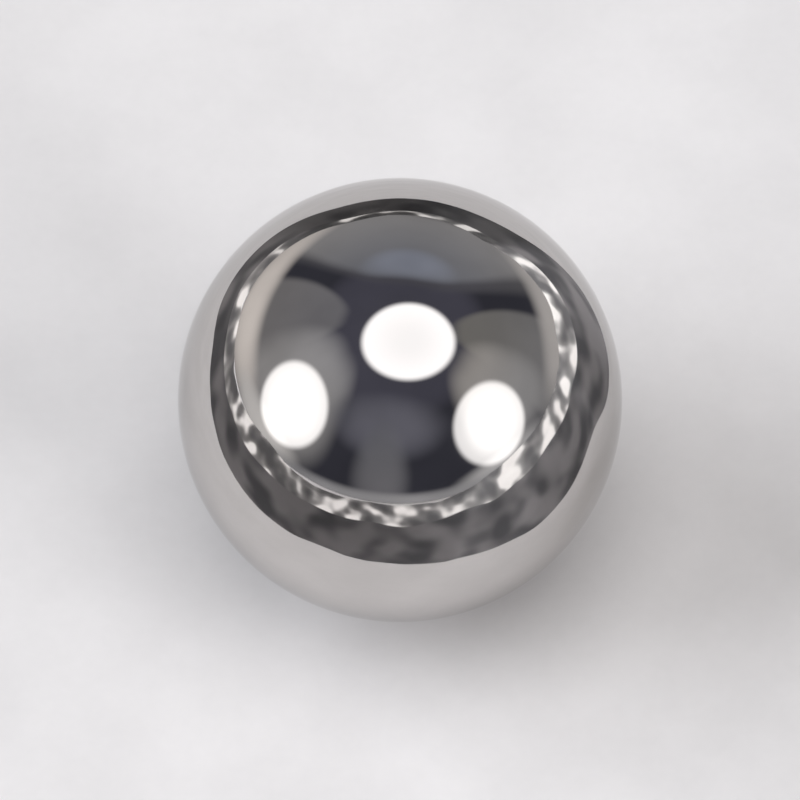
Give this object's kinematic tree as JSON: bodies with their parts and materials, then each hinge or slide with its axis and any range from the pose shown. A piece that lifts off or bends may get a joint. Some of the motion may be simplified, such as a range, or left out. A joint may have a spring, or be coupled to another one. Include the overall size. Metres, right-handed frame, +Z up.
{
  "type": "steel ball",
  "caption": "Solid steel ball, ground to a true sphere and lapped to a mirror finish, for a ball race, a cup or a detent.",
  "frame": {"origin": "centre of the ball", "axes": "+Z up, through the centre and away from the seat; every diameter is an axis of symmetry"},
  "size_m": [0.01, 0.01, 0.01],
  "materials": {
    "polished_steel": "polished"
  },
  "bodies": {
    "root": {"ball": "polished_steel"}
  },
  "joints": []
}
